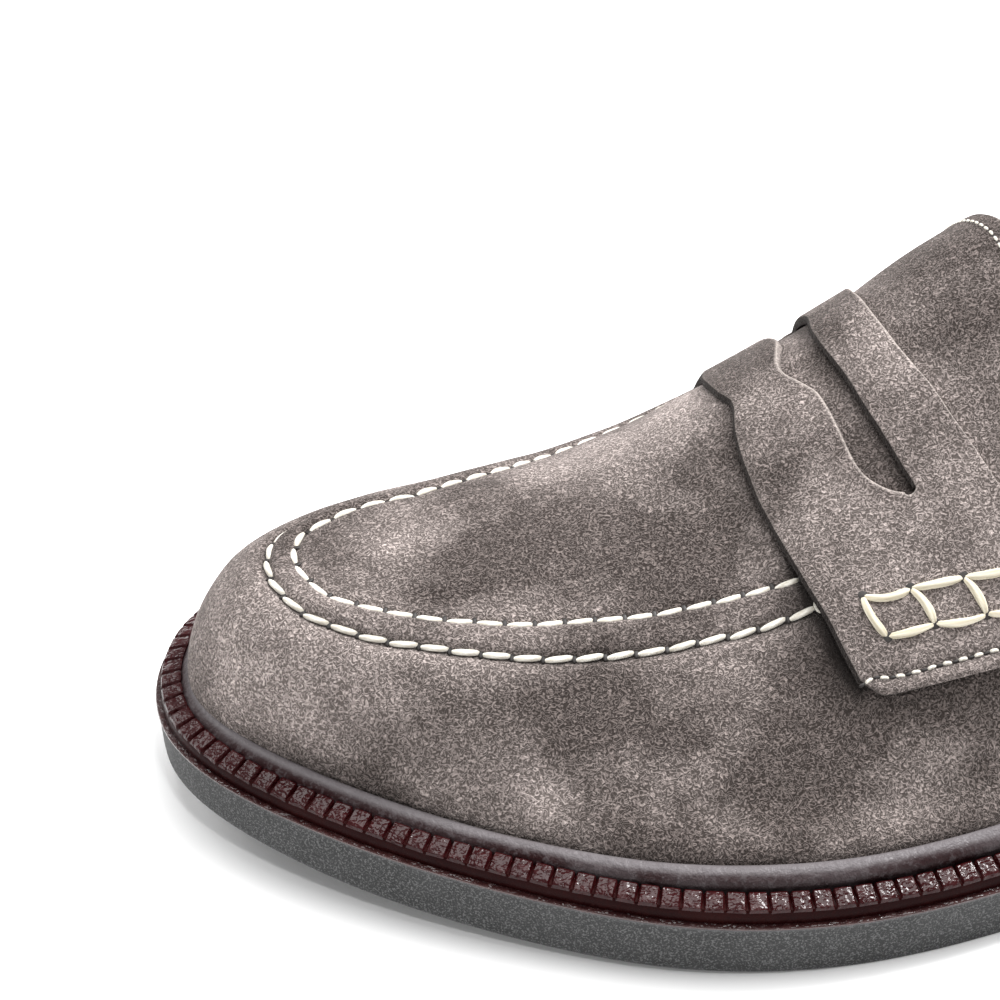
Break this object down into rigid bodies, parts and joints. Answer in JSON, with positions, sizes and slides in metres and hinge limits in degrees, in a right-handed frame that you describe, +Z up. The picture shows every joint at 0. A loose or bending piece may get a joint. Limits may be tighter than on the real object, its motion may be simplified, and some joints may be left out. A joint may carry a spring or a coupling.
{
  "type": "penny loafer",
  "caption": "Low suede slip-on left shoe: hollow moccasin-seamed upper, slotted strap and tongue on a storm welt, thin midsole, rubber outsole and heel block.",
  "frame": {"origin": "middle of the shoe's plan, on the floor it stands on", "axes": "+X towards the toe, +Y towards the outer side of the left foot, +Z up"},
  "size_m": [0.3026, 0.112, 0.078],
  "materials": {
    "outsole_rubber": "matte grey rubber with a fine speckle",
    "heel_rubber": "matte grey rubber",
    "midsole_edge": "burgundy, edge-dressed",
    "welt_strip": "burgundy, polished flange and matte bead",
    "sock": "plain tan leather sock",
    "suede": "grey-taupe suede nap",
    "strap_suede": "grey-taupe suede with raw cut edges",
    "tongue_suede": "grey-taupe suede"
  },
  "bodies": {
    "root": {"outsole": "outsole_rubber", "heel": "heel_rubber", "midsole": "midsole_edge", "welt": "welt_strip", "insole": "sock", "upper": "suede", "saddle": "strap_suede", "tongue": "tongue_suede"}
  },
  "joints": []
}
